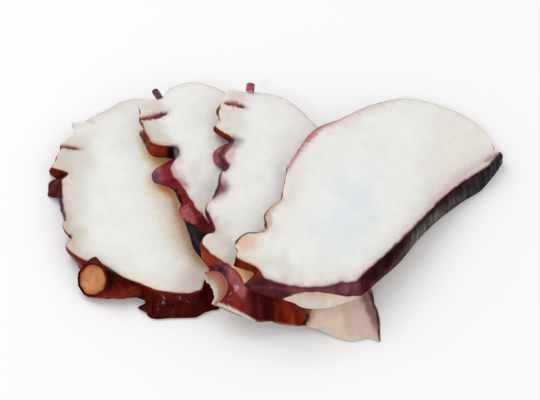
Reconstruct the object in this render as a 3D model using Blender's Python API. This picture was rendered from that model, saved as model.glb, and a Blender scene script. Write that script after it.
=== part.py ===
"""Cooked octopus: four thick slices of one boiled arm, cut on the bias and fanned out.

Slice 1 lies flat. Each later slice leans on the one before it, drapes down to its
right and sags a little at the front, where nothing holds it up. A slice is a loft
between its upper cut face and its lower one, which stands out further at the front
because the knife went through the arm at a slant. The lobes along a slice's left
side are suckers that the knife went through.

Metres, +Z up, resting on Z = 0.
"""

import math

import bmesh
import bpy
import numpy as np
from mathutils import Matrix, Vector
from mathutils.geometry import delaunay_2d_cdt

MM = 0.001

# Driving dimensions, in millimetres.
THICKNESS = 4.7           # upright thickness of every slice
SIDE_BULGE = 0.35         # how far the skin swells out between the two cut faces
EDGE_STEP = 1.5           # spacing of the vertices along an outline
FACE_STEP = 4.5           # spacing of the vertices inside a cut face
WALL_ROWS = 3             # rows of faces down the skin
DRAPE_SOFTNESS = 2.0      # length over which a drape bends level
SAG_START = -24.0         # the front of a propped slice sags beyond this Y
GROUND_SOFTNESS = 0.4     # how gently a draped slice settles on the ground
GROUND_SINK = 0.8         # a drape this high above its end already lies on the ground
CENTRE = (1.8, -1.8)      # middle of the fan in the outlines' own coordinates

# Each outline goes round the upper cut face, seen from above, anticlockwise from the
# back: (x, y, dx, dy). dx and dy say how far the lower face's edge lies from there.
SLICE_1 = [
    (-33, 34.6, 0, -1.5), (-38, 33.9, 0, -1.5), (-41.2, 31.3, 0.3, -1.3),
    (-45.6, 28.2, 0.5, -1.2), (-48.2, 26.2, 0.5, -0.8), (-50.2, 25.6, 1.1, 0),
    (-50, 23, 0.9, 0), (-52.6, 18.4, 0.2, 0), (-53.2, 14.6, 0, 0.2),
    (-54.4, 11, -1.1, 1.6), (-50.1, 8.9, -3, 1.4), (-51.4, 6.5, -3.9, 2.6),
    (-51.1, 3.3, -4, 1.9), (-50.8, 0.6, -1.5, 2.6), (-49.7, -4.8, -0.4, 2),
    (-50, -7.4, 1.4, 1.2), (-47.5, -11.3, 0.9, 0.7), (-48.6, -13.7, 0.5, 0.6),
    (-46.6, -16.3, 0.8, -0.3), (-43.3, -18.4, -0.4, -1.8), (-40.6, -18.8, -0.6, -3.6),
    (-38.2, -20.3, -0.3, -5), (-34.8, -23, -0.2, -2.8), (-31.2, -24.7, 1, -2),
    (-28.6, -26, -0.2, -4.8), (-26.2, -27, -0.4, -5), (-22.6, -27.7, 0.4, -4.2),
    (-18.8, -27.9, 0.3, -4), (-16, -26.8, 0.7, -3.8), (-14.6, -22.6, 2.2, -6),
    (-13.7, -17, 1.5, -3), (-13.6, -12, 0.8, -1), (-15.2, -1, 0.3, -0.5),
    (-18.6, 12, 0, -1), (-23.5, 23.5, -0.4, -1.2), (-28.5, 31.3, 0, -1.5),
]
SLICE_2 = [
    (-18, 35, 0, -1.5), (-21.6, 34.6, 0, -1.5), (-25.6, 32.2, 0, -1.3),
    (-28.4, 28.4, 0, -1), (-32.7, 27.2, 0.9, -0.4), (-32.7, 23.7, 0.9, -0.6),
    (-32.2, 20, 1.2, 0.6), (-31.3, 17.4, -1.2, 2.2), (-29.5, 13.9, -0.8, 0.4),
    (-26.8, 12.6, -1, -0.2), (-23.6, 12.3, -0.6, -0.2), (-22.6, 10, -1.6, 1.2),
    (-24.2, 6.2, -3.6, 3), (-24.1, 4, -4.9, 1.6), (-22.4, 1.4, -2.3, 1.4),
    (-20.4, -1.6, -2.4, 2.2), (-18.9, -4.4, -2.9, 1.2), (-17.2, -7.4, -3.7, 0.5),
    (-14.9, -10.4, -4.6, -0.5), (-13.1, -13.4, -5, -2), (-12.4, -16, -3.4, -2.7),
    (-11.1, -18.6, -1.7, -2.2), (-6, -21, 0, -2), (0, -19, 0.5, -2),
    (4.6, -9, 0.5, -1), (6.2, 3, 0, 0), (5, 14, 0, -0.4),
    (0.5, 24.5, 0, -1), (-7.6, 30.9, 0, -1.3), (-13.5, 33.7, 0, -1.5),
]
SLICE_3 = [
    (-1.3, 29.5, 0, -1.3), (-6.3, 28.7, 0, -1.3), (-10.4, 28.4, 0, -1),
    (-11.9, 24.8, 0.2, 0.1), (-12.6, 21, 0.2, 0.5), (-12.6, 17.9, 0.8, 0.5),
    (-13.4, 15.3, -0.4, 2.1), (-10.6, 13.2, -0.4, 2), (-8.9, 11.6, -1.3, 2.2),
    (-10.1, 8.2, -2.7, 3.8), (-10.9, 5.4, -3, 2.8), (-10, 3.1, -2, 2.3),
    (-11.6, 0.6, -0.3, 1.2), (-12.2, -4.3, -1.2, 0.8), (-13.2, -7.4, -0.6, 0.6),
    (-15.1, -10.7, 0.2, 0.7), (-13.2, -15.4, 0.1, 0.5), (-13, -17.6, -0.1, 0.8),
    (-15.4, -20.4, -0.3, 0.8), (-14.9, -22.6, -0.8, -0.1), (-12.2, -24.8, -0.8, -1.2),
    (-9.8, -26.1, -2.9, -6), (-7.8, -27.5, -1.2, -7.1), (-6, -30, 2.4, -6),
    (-2, -31.6, 2.2, -3.9), (2.5, -32.1, 2, -3.7), (7, -31.9, 2.2, -3.7),
    (11, -31.4, 2.6, -5.4), (15, -30.6, 2.9, -7.6), (18.6, -29.6, 2.6, -8.4),
    (21.4, -27.8, 2.8, -9.9), (21.7, -24.6, 3.8, -10.2), (20.3, -20.5, 4.6, -9),
    (19.6, -16, 3.6, -7.6), (19.6, -10, 1.6, -3), (20.4, 1.4, 0.3, -1),
    (16.6, 13.6, 0, -0.6), (12.1, 20.4, 0, -0.8), (6.6, 26.8, 0, -1.1),
]
SLICE_4 = [
    (40, 31, 0, -1.4), (34.4, 30.8, 0, -1.4), (27.9, 27.9, 0, -1.2),
    (22.6, 24.3, 0, -1), (17.4, 19.8, 0, -0.8), (12.8, 16.7, -0.2, -0.6),
    (9.8, 13.3, -0.3, -0.5), (6.8, 7.2, -0.3, -0.4), (4.6, 2.6, -0.2, -0.3),
    (3.1, -6.4, -0.2, -0.3), (2.4, -9.4, 0.5, 0.6), (-0.2, -12.3, 0.6, 0.4),
    (-1.4, -15, 0.6, 0), (-0.9, -17.8, 0.3, 0.5), (-3, -20, 0, 1),
    (-5.4, -20.6, 0.1, 1), (-7.6, -23.2, 0.7, 0.6), (-7.5, -25.6, 1, 0.6),
    (-7.2, -27.7, -0.7, 0.8), (-3.2, -29.4, -1, 1.2), (-1.6, -31.5, -3.1, -0.4),
    (1.4, -32.3, -0.3, -0.9), (6.5, -32.7, 0.8, -2), (11.3, -32, 0.1, -2.4),
    (15.6, -30.5, 0, -2.5), (19.4, -29.5, 0.7, -1.2), (21.2, -27.7, 0.8, -1.2),
    (24.9, -23.4, 0.6, -1.8), (29.9, -17.4, 0.7, -1.9), (35.4, -10.1, 0.4, -1.1),
    (40.6, -2.8, 1.1, -0.9), (45.8, 3.4, 1.9, -0.8), (50.9, 8.2, 1.8, -1.2),
    (54.8, 11.8, 1.1, -0.3), (57.6, 15.6, 1.2, 0.8), (56, 19.4, 0.3, 0),
    (52.2, 26.1, -0.3, -0.8), (46.4, 29.5, 0, -1.2),
]

# How each slice leans: it drops by slope for each unit of X until x_end, where it has
# come down to the ground, and it keeps level_slope less than that left of level_from.
DRAPES = {
    "slice_1": None,
    "slice_2": {"x_end": 11.5, "slope": 0.228, "level_from": -17.0, "level_slope": 0.16, "sag": 0.0},
    "slice_3": {"x_end": 33.0, "slope": 0.24, "level_from": None, "level_slope": 0.0, "sag": 0.30},
    "slice_4": {"x_end": 55.5, "slope": 0.235, "level_from": None, "level_slope": 0.0, "sag": 0.22},
}

# Cut sucker stalk at the front of slice 1: a short log whose left end is cut at a slant.
STALK_RADIUS = 3.4
STALK_START = (-47.0, -22.4, 3.5)
STALK_END = (-29.0, -25.6, 3.2)
STALK_CUT_AT = (-42.0, -23.3, 3.5)
STALK_CUT_FACES = (-0.62, -0.42, 0.66)

# Curled sucker rim at the front left of slice 3: part of a bent tube wall.
CURL_CENTRE = (-13.4, -30.6)
CURL_RADIUS = 2.7
CURL_WALL = 1.5
CURL_ARC = (-75, 95)      # degrees round the curl's upright axis
CURL_HEIGHT = 5.4
CURL_BOTTOM = 5.6

# Sucker rims that stand up behind the back edge: centre and slice they belong to.
RIM_RADIUS = 1.15
RIM_HEIGHT = 2.9
BACK_RIMS = [("slice_2", (-27.6, 29.2)), ("slice_3", (-5.2, 29.2))]

FLESH = (0.80, 0.78, 0.74, 1)
FLESH_ROUGHNESS = 0.35


def soft_ramp(distance, softness):
    """0 for a negative distance, the distance itself for a positive one, bent smoothly."""
    return softness * np.logaddexp(0.0, distance / softness)


def underside(name, x, y):
    """Height of a slice's lower face above the ground at (x, y)."""
    drape = DRAPES[name]
    if drape is None:
        return np.zeros_like(x)
    height = drape["slope"] * soft_ramp(drape["x_end"] - x, DRAPE_SOFTNESS)
    if drape["level_from"] is not None:
        height = height - drape["level_slope"] * soft_ramp(drape["level_from"] - x, 3.0)
    height = height - drape["sag"] * soft_ramp(SAG_START - y, DRAPE_SOFTNESS)
    return soft_ramp(height - GROUND_SINK, GROUND_SOFTNESS)


def closed_curve(points, step):
    """Catmull-Rom curve through closed control points, resampled at even steps."""
    control = np.array(points, dtype=float)
    before = np.roll(control, 1, axis=0)
    after = np.roll(control, -1, axis=0)
    beyond = np.roll(control, -2, axis=0)
    pieces = []
    for t in np.linspace(0.0, 1.0, 12, endpoint=False):
        pieces.append(0.5 * (2 * control + (after - before) * t
                             + (2 * before - 5 * control + 4 * after - beyond) * t ** 2
                             + (3 * control - before - 3 * after + beyond) * t ** 3))
    curve = np.stack(pieces, axis=1).reshape(-1, control.shape[1])
    ends = np.vstack([curve, curve[:1]])
    lengths = np.hypot(*np.diff(ends[:, :2], axis=0).T)
    along = np.concatenate([[0.0], np.cumsum(lengths)])
    count = max(24, int(round(along[-1] / step)))
    samples = np.linspace(0.0, along[-1], count, endpoint=False)
    return np.stack([np.interp(samples, along, ends[:, k]) for k in range(ends.shape[1])], axis=1)


def outward(curve, passes):
    """Outward directions of an anticlockwise outline, smoothed so that lobes share one."""
    tangent = np.roll(curve, -1, axis=0) - np.roll(curve, 1, axis=0)
    normal = np.stack([tangent[:, 1], -tangent[:, 0]], axis=1)
    for _ in range(passes):
        normal = (np.roll(normal, 1, axis=0) + 2 * normal + np.roll(normal, -1, axis=0)) / 4
    return normal / np.linalg.norm(normal, axis=1, keepdims=True)


def fill_outline(outline):
    """Triangulate the inside of an outline, with a grid of inner points for the drape."""
    low = outline.min(axis=0)
    high = outline.max(axis=0)
    inner = []
    for row, y in enumerate(np.arange(low[1], high[1], FACE_STEP * math.sqrt(3) / 2)):
        for x in np.arange(low[0] + (row % 2) * FACE_STEP / 2, high[0], FACE_STEP):
            if np.min(np.hypot(outline[:, 0] - x, outline[:, 1] - y)) > FACE_STEP * 0.55:
                inner.append((x, y))
    points = [Vector(p) for p in outline.tolist()] + [Vector(p) for p in inner]
    border = list(range(len(outline)))
    verts, _, faces, origin, _, _ = delaunay_2d_cdt(points, [], [border], 1, 1e-6)
    source = [ids[0] for ids in origin]
    return np.array([tuple(v) for v in verts]), faces, source


def slice_mesh(name, control):
    """One slice: upper face, skin and lower face lofted into a closed body."""
    shape = closed_curve(control, EDGE_STEP)
    top = shape[:, :2]
    shift = shape[:, 2:]
    direction = outward(top, 6)
    mesh = bmesh.new()
    rows = []
    for row in range(WALL_ROWS + 1):
        depth = row / WALL_ROWS
        ring = top + shift * depth + direction * (SIDE_BULGE * math.sin(math.pi * depth))
        height = underside(name, ring[:, 0], ring[:, 1]) + THICKNESS * (1 - depth)
        rows.append([mesh.verts.new((x * MM, y * MM, z * MM))
                     for (x, y), z in zip(ring.tolist(), height.tolist())])
    count = len(top)
    for upper, lower in zip(rows[:-1], rows[1:]):
        for i in range(count):
            j = (i + 1) % count
            mesh.faces.new((upper[i], lower[i], lower[j], upper[j]))
    bottom = top + shift
    for outline, edge, lift, flip in ((top, rows[0], THICKNESS, False), (bottom, rows[-1], 0.0, True)):
        places, faces, source = fill_outline(outline)
        height = underside(name, places[:, 0], places[:, 1]) + lift
        corner = []
        for i, (x, y) in enumerate(places.tolist()):
            if source[i] < count:
                corner.append(edge[source[i]])
            else:
                corner.append(mesh.verts.new((x * MM, y * MM, height[i] * MM)))
        for face in faces:
            ids = [corner[i] for i in face]
            mesh.faces.new(ids[::-1] if flip else ids)
    bmesh.ops.triangulate(mesh, faces=mesh.faces)
    bmesh.ops.recalc_face_normals(mesh, faces=mesh.faces)
    return mesh


def make_object(name, mesh, collection, colour, roughness):
    """Turn a bmesh into a named object with its own Principled material."""
    data = bpy.data.meshes.new(name)
    mesh.to_mesh(data)
    mesh.free()
    material = bpy.data.materials.new(name + "_finish")
    material.use_nodes = True
    shader = material.node_tree.nodes["Principled BSDF"]
    shader.inputs["Base Color"].default_value = colour
    shader.inputs["Roughness"].default_value = roughness
    data.materials.append(material)
    made = bpy.data.objects.new(name, data)
    collection.objects.link(made)
    return made


def unite(body, addition, cutters):
    """Join an extra shape to a slice with a Boolean union and keep it as a guide."""
    joiner = body.modifiers.new("join_" + addition.name, "BOOLEAN")
    joiner.operation = "UNION"
    joiner.solver = "EXACT"
    joiner.object = addition
    addition.hide_render = True
    addition.display_type = "WIRE"
    cutters.objects.link(addition)


def guide_object(name, mesh):
    data = bpy.data.meshes.new(name)
    mesh.to_mesh(data)
    mesh.free()
    return bpy.data.objects.new(name, data)


def stalk_guide():
    """The cut sucker stalk: a tapered log along the front of slice 1, its left end cut."""
    start = Vector(STALK_START) * MM
    end = Vector(STALK_END) * MM
    axis = end - start
    mesh = bmesh.new()
    bmesh.ops.create_cone(mesh, cap_ends=True, segments=24, radius1=STALK_RADIUS * MM,
                          radius2=STALK_RADIUS * 0.8 * MM, depth=axis.length)
    turn = axis.to_track_quat("Z", "Y").to_matrix().to_4x4()
    bmesh.ops.transform(mesh, matrix=Matrix.Translation((start + end) / 2) @ turn, verts=mesh.verts)
    everything = mesh.verts[:] + mesh.edges[:] + mesh.faces[:]
    cut = bmesh.ops.bisect_plane(mesh, geom=everything, plane_co=Vector(STALK_CUT_AT) * MM,
                                 plane_no=Vector(STALK_CUT_FACES), clear_outer=True)
    rim = [item for item in cut["geom_cut"] if isinstance(item, bmesh.types.BMEdge)]
    bmesh.ops.holes_fill(mesh, edges=rim, sides=0)
    return guide_object("stalk_guide", mesh)


def curl_guide():
    """The curled sucker rim: an upright C-shaped wall, leaning out at the top."""
    mesh = bmesh.new()
    steps = 10
    levels = 3
    sections = []
    for i in range(steps + 1):
        angle = math.radians(CURL_ARC[0] + (CURL_ARC[1] - CURL_ARC[0]) * i / steps)
        section = []
        for radius, ups in ((CURL_RADIUS, range(levels + 1)),
                            (CURL_RADIUS - CURL_WALL, range(levels, -1, -1))):
            for up in ups:
                lean = 1.0 - 0.12 * (up / levels - 0.5)
                x = CURL_CENTRE[0] + radius * lean * math.cos(angle)
                y = CURL_CENTRE[1] + radius * lean * math.sin(angle)
                z = CURL_BOTTOM + CURL_HEIGHT * up / levels
                section.append(mesh.verts.new((x * MM, y * MM, z * MM)))
        sections.append(section)
    for one, two in zip(sections[:-1], sections[1:]):
        for i in range(len(one)):
            j = (i + 1) % len(one)
            mesh.faces.new((one[i], one[j], two[j], two[i]))
    mesh.faces.new(sections[0][::-1])
    mesh.faces.new(sections[-1])
    bmesh.ops.triangulate(mesh, faces=mesh.faces)
    bmesh.ops.recalc_face_normals(mesh, faces=mesh.faces)
    return guide_object("curl_guide", mesh)


def rim_guide(owner, centre):
    """A small sucker rim that stands up at a slice's back edge."""
    x, y = centre
    floor = float(underside(owner, np.array(x, dtype=float), np.array(y, dtype=float)))
    mesh = bmesh.new()
    bmesh.ops.create_uvsphere(mesh, u_segments=12, v_segments=8, radius=RIM_RADIUS * MM)
    stretch = Matrix.Diagonal((1.0, 0.8, RIM_HEIGHT / (2 * RIM_RADIUS), 1.0))
    place = Matrix.Translation((x * MM, y * MM, (floor + THICKNESS + 0.5) * MM))
    bmesh.ops.transform(mesh, matrix=place @ stretch, verts=mesh.verts)
    return guide_object("rim_guide_" + owner, mesh)


def main():
    for old in list(bpy.data.objects):
        bpy.data.objects.remove(old, do_unlink=True)
    parts = bpy.data.collections.new("cooked_octopus")
    cutters = bpy.data.collections.new("joining_shapes")
    bpy.context.scene.collection.children.link(parts)
    bpy.context.scene.collection.children.link(cutters)

    serving = bpy.data.objects.new("serving", None)
    serving.location = (-CENTRE[0] * MM, -CENTRE[1] * MM, 0.0)
    parts.objects.link(serving)

    outlines = {"slice_1": SLICE_1, "slice_2": SLICE_2, "slice_3": SLICE_3, "slice_4": SLICE_4}
    slices = {}
    for name, control in outlines.items():
        slices[name] = make_object(name, slice_mesh(name, control), parts, FLESH, FLESH_ROUGHNESS)

    unite(slices["slice_1"], stalk_guide(), cutters)
    unite(slices["slice_3"], curl_guide(), cutters)
    for owner, centre in BACK_RIMS:
        unite(slices[owner], rim_guide(owner, centre), cutters)
    for piece in list(slices.values()) + list(cutters.objects):
        piece.parent = serving


main()
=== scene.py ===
"""Looks of the cooked octopus: four bias-cut slices of a boiled arm, fanned out.

Each slice is a closed mesh: an upper cut face of moist white flesh, a lower one, and
between them the skin, which stands out at the front. The vertices carry two attributes
that the material reads: tint, the colour of the flesh or skin there with some painted
shade and painted highlights in it, and skin, 0 on cut flesh and 1 on skin. Lengths are
in millimetres until the meshes are made.
"""

import math

import bpy
import numpy as np
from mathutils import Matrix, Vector
from mathutils.geometry import delaunay_2d_cdt


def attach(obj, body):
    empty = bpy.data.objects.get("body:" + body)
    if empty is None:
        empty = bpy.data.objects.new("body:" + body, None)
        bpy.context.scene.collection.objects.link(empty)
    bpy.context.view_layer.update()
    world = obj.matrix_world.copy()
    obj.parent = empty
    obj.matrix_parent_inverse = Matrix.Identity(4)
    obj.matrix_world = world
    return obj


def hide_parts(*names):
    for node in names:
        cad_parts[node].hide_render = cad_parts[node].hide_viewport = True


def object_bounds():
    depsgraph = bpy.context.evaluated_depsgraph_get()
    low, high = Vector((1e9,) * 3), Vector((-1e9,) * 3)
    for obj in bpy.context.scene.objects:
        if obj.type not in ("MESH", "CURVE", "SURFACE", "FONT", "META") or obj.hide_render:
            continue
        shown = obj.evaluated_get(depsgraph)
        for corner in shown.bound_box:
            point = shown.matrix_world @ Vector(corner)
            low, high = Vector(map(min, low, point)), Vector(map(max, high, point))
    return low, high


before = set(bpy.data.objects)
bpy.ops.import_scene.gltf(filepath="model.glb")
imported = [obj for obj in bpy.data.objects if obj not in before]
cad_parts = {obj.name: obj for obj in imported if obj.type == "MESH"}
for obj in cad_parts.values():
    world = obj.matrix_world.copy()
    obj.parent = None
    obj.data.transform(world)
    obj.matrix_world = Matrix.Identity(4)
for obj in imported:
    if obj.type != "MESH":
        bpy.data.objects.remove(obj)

MM = 0.001
cad_low, cad_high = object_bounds()

# ---- driving dimensions
THICKNESS = 4.7           # upright thickness of a slice, as in the CAD
CENTRE = (1.8, -1.8)      # middle of the fan in the outlines' coordinates, as in the CAD
EDGE_STEP = 0.28          # spacing of vertices along an outline
FACE_STEP = 0.36          # spacing inside an upper face
UNDER_STEP = 1.3          # spacing inside a lower face
WALL_ROWS = 26            # rows of vertices down the skin
ROUNDING = 0.22           # how far the cut edges are rounded
BULGE = 0.32              # how far the skin stands out half way down
RIB_HEIGHT = 0.11         # height of the skin's ribs, and their spacing
RIB_SPACING = 1.5
DOME = 0.3                # how far the middle of an upper face stands above its rim
DRAPE_SOFTNESS = 2.0      # how gradually a slice bends
LEVEL_SOFTNESS = 3.0      # how gradually its rise levels off
SAG_START = -24.0         # y from which the front of a slice hangs down
GROUND_SOFTNESS = 0.4     # how gradually a slice settles on the ground
GROUND_SINK = 0.8
WAVES = 16                # sine waves in a random field
SPAN_POINTS = 14          # points of an outline's curve between two control points
SHARP_CHANGE = 2.5        # how fast one finish turns into the next, where not gradually
STROKE_TAPER = 0.55       # how much thinner a drawn line is at its ends
MARK_SEED = 50            # number of the random field that roughens a list's first mark

# Random fields, each with its height, wavelength and number.
SKIN_LUMPS = ((0.22, 5.5, 1), (0.10, 2.2, 2))
SKIN_STREAKS = ((0.14, 3.5, 5), (0.10, 1.2, 12))
STALK_LUMPS = ((0.10, 3.0, 901), (0.05, 1.3, 902))
DISC_MOTTLE = ((0.12, 2.6, 905), (0.05, 0.8, 906))
FACE_SWELLS = ((0.12, 9.0, 6), (0.025, 2.0, 7))
SWELL_REACHES = (1.5, 0.8)     # how far inside the rim those swells reach their height

CAMERA_LENS = 100.0
CAMERA_DISTANCE = 365.85
TARGET_HEIGHT = 5.0       # height of the point that the camera looks at
SEEN_FROM = math.radians(50)   # the camera looks down at the table by this angle

# Directions as the camera sees them: to the right, up, and towards the camera.
ACROSS = np.array([1.0, 0.0, 0.0])
UP = np.array([0.0, math.sin(SEEN_FROM), math.cos(SEEN_FROM)])
FORWARD = np.array([0.0, -math.cos(SEEN_FROM), math.sin(SEEN_FROM)])

# How a slice leans on the one before it, as in the CAD: the x where its rise ends, its
# slope, the x from where it levels off, by how much, and how far its front hangs down.
DRAPES = {
    "slice_2": (11.5, 0.228, -17.0, 0.16, 0.0),
    "slice_3": (33.0, 0.24, 0.0, 0.0, 0.30),
    "slice_4": (55.5, 0.235, 0.0, 0.0, 0.22),
}

# ---- colours
LIT_BY = 1.11   # the tints below are as they look under light this much above even white


def linear(red, green, blue):
    """A tint's sRGB levels, 0 to 255, as the linear colour of the surface."""
    level = np.array([red, green, blue]) / 255.0
    return np.where(level <= 0.04045, level / 12.92, ((level + 0.055) / 1.055) ** 2.4) / LIT_BY


LEVELS = {
    "flesh": (240, 241, 238), "cool": (222, 231, 236), "cream": (226, 215, 202), "sand": (222, 196, 160),
    "honey": (206, 158, 108), "toffee": (250, 168, 76), "oat": (202, 194, 180), "amber": (255, 208, 152),
    "peach": (228, 182, 152), "peel": (229, 208, 192), "rose": (208, 170, 166), "blush": (178, 98, 100),
    "mauve": (156, 88, 100), "lilac": (168, 140, 152), "dusk": (110, 70, 74), "plum": (92, 40, 46),
    "slate": (78, 62, 76), "ink": (18, 6, 9), "charcoal": (40, 37, 39), "grey": (104, 97, 96),
    "umber": (124, 36, 15), "rust": (158, 58, 28), "crimson": (124, 34, 36), "brick": (146, 48, 44),
    "oxblood": (70, 12, 8), "maroon": (64, 7, 7), "tan": (206, 140, 92), "fawn": (174, 118, 96),
}
TINTS = {name: linear(*level) for name, level in LEVELS.items()}

# Finish of a stretch of outline: width of the dark skin line on the cut face, reach and
# strength of the stain inside it, the tints of line, stain and skin below, and how
# strongly the skin is ribbed from top to bottom.
FINISHES = {
    "bare": (0.0, 1.5, 0.15, "rose", "cream", "mauve", 0.3),
    "dim": (0.0, 1.5, 0.15, "rose", "cream", "charcoal", 0.5),
    "back": (0.08, 0.7, 0.35, "plum", "lilac", "mauve", 0.3),
    "pale": (0.0, 2.2, 0.55, "umber", "cream", "umber", 0.3),
    "brown": (0.12, 1.3, 0.65, "umber", "sand", "umber", 0.3),
    "traced": (0.42, 1.6, 0.75, "oxblood", "sand", "umber", 0.2),
    "blot": (0.1, 0.6, 0.5, "slate", "slate", "slate", 0.2),
    "wine": (0.16, 1.5, 0.7, "crimson", "rose", "crimson", 0.4),
    "plum": (0.18, 1.2, 0.7, "plum", "rose", "plum", 0.4),
    "oxblood": (0.10, 0.7, 0.5, "umber", "sand", "oxblood", 0.4),
    "claret": (0.30, 0.9, 0.6, "maroon", "rose", "maroon", 0.35),
    "maroon": (0.30, 0.9, 0.6, "maroon", "rose", "charcoal", 0.8),
    "pink": (0.22, 1.4, 0.7, "mauve", "rose", "mauve", 0.3),
    "peeled": (0.0, 1.0, 0.3, "rose", "cream", "peel", 0.15),
    "hidden": (0.2, 0.8, 0.5, "plum", "rose", "plum", 0.3),
}
LINE_TINT = slice(3, 6)     # columns of a finish once its tints are spelled out
STAIN_TINT = slice(6, 9)
SKIN_TINT = slice(9, 12)
RIBS = 12

# Finishes that change gradually into their neighbours, and those whose skin also runs
# into the skin next to it, over so many samples of the outline.
GRADUAL = ("back", "bare", "hidden", "pink", "dim")
BLENDED = ("back", "bare", "hidden", "dim")
BLEND_SAMPLES = 25

# ---- outlines
# Upper outlines, anticlockwise from the back and seen from above, in stretches of one
# finish: (x, y, dx, dy). dx and dy say how far the lower face's edge lies from there.
SLICE_1 = [
    ("back", [(-33, 34.6, 0, -1.5), (-38, 33.9, 0, -1.5), (-41.2, 31.3, 0.3, -1.3),
        (-45.6, 28.2, 0.5, -1.2)]),
    ("bare", [(-48.3, 25.9, 0.5, -0.8), (-50.6, 26.3, 1.1, 0), (-49.8, 23.4, 0.9, 0)]),
    ("pale", [(-51, 20.8, 0.6, 0), (-52.8, 18.8, 0, 0), (-52.5, 17.5, 0.2, 0), (-53.1, 15.8, 0, 0),
        (-53.5, 13.2, -0.3, 0.6)]),
    ("brown", [(-54.4, 11, -1.1, 1.6), (-52.7, 10.3, -1.2, 0.9), (-50.1, 8.9, -3, 1.4)]),
    ("plum", [(-51.4, 6.9, -3.9, 2.9), (-51.3, 5, -4, 1.8), (-51.1, 3.3, -4, 1.9), (-50.9, 1.4, -1.5, 2.8),
        (-50.4, -1.8, -0.9, 2.4), (-49.5, -5.8, -0.3, 2)]),
    ("pale", [(-50, -7.4, 1.4, 1.2), (-48.8, -9.8, 1.4, 1.2)]),
    ("brown", [(-47.5, -11.3, 0.9, 0.7), (-48.6, -13.7, 0.5, 0.6), (-46.6, -16.3, 0.8, -0.3),
        (-43.3, -18.4, -0.4, -1.8)]),
    ("oxblood", [(-40.6, -18.8, -0.6, -3.6), (-38.4, -20.2, -0.3, -5.2), (-34.8, -23, -0.2, -2.8),
        (-32.4, -24.2, 0.2, -1.5), (-30.6, -24.9, 1.5, -2.2), (-30, -25.2, 1.2, -2.8),
        (-29.3, -25.6, 0.4, -3.9), (-28.4, -26, -0.2, -5), (-26.6, -26.9, -0.4, -5.2),
        (-23.3, -27.6, 0.4, -4.3), (-18.9, -27.9, 0.3, -3.9), (-17.3, -27.4, 0.3, -4.2),
        (-16, -26.8, 0.7, -3.6), (-15.3, -24.4, 1.7, -5.3), (-14.4, -22, 2.6, -6.8)]),
    ("hidden", [(-13.7, -17, 1.5, -3), (-13.6, -12, 0.8, -1), (-15.2, -1, 0.3, -0.5), (-18.6, 12, 0, -1),
        (-23.5, 23.5, -0.4, -1.2), (-28.5, 31.3, 0, -1.5)]),
]
SLICE_2 = [
    ("back", [(-18, 35, 0, -1.5), (-20.6, 34.9, 0, -1.5), (-23, 33.9, 0, -1.4), (-25.6, 32.2, 0, -1.3)]),
    ("bare", [(-27, 29.9, 0, -1.2), (-28.7, 28.3, 0, -1), (-32.7, 27.3, 0.9, -0.4),
        (-33.2, 25.7, 0.9, -0.2)]),
    ("pale", [(-32.5, 23.7, 0.9, -0.6), (-32.5, 20.9, 1.3, 0.4), (-31.6, 19.4, 1.1, 0.8)]),
    ("brown", [(-31.3, 17.5, -1.5, 2.7), (-30.7, 16.2, -1.2, 1.6), (-30, 15, -1, 1), (-29.4, 13.6, -0.6, 0),
        (-27.6, 12.7, -1, -0.2), (-25.2, 12.5, -0.8, -0.1)]),
    ("blot", [(-23.7, 12.4, -0.6, -0.3), (-22.5, 11.3, -1.1, 0.4), (-22.6, 9.7, -1.7, 1.5)]),
    ("wine", [(-23.3, 8, -2.2, 3), (-23.9, 6.8, -3.2, 3.1), (-24.3, 5.2, -4.5, 2.6), (-24.1, 4.2, -5, 1.8),
        (-23.8, 3.3, -4.7, 1), (-23.2, 2.3, -3.9, 1.3), (-22.4, 1.4, -2.3, 1.4), (-20.9, -0.8, -2.3, 2.3),
        (-20.1, -2.2, -2.5, 2), (-19.4, -3.7, -2.2, 1.3), (-18.4, -5.2, -3.6, 1.1), (-17.9, -6.6, -3.4, 0.6),
        (-16.4, -8.2, -4.1, 0.4), (-15.4, -9.6, -4.4, -0.4), (-14.2, -11.3, -4.9, -0.7),
        (-13.2, -13.3, -5, -2), (-12.5, -16, -3.4, -2.7), (-11.3, -18.6, -1.7, -2.2)]),
    ("hidden", [(-6, -21, 0, -2), (0, -19, 0.5, -2), (4.6, -9, 0.5, -1), (6.2, 3, 0, 0), (5, 14, 0, -0.4),
        (0.5, 24.5, 0, -1)]),
    ("back", [(-7.6, 30.9, 0, -1.3), (-13.5, 33.7, 0, -1.5)]),
]
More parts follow.
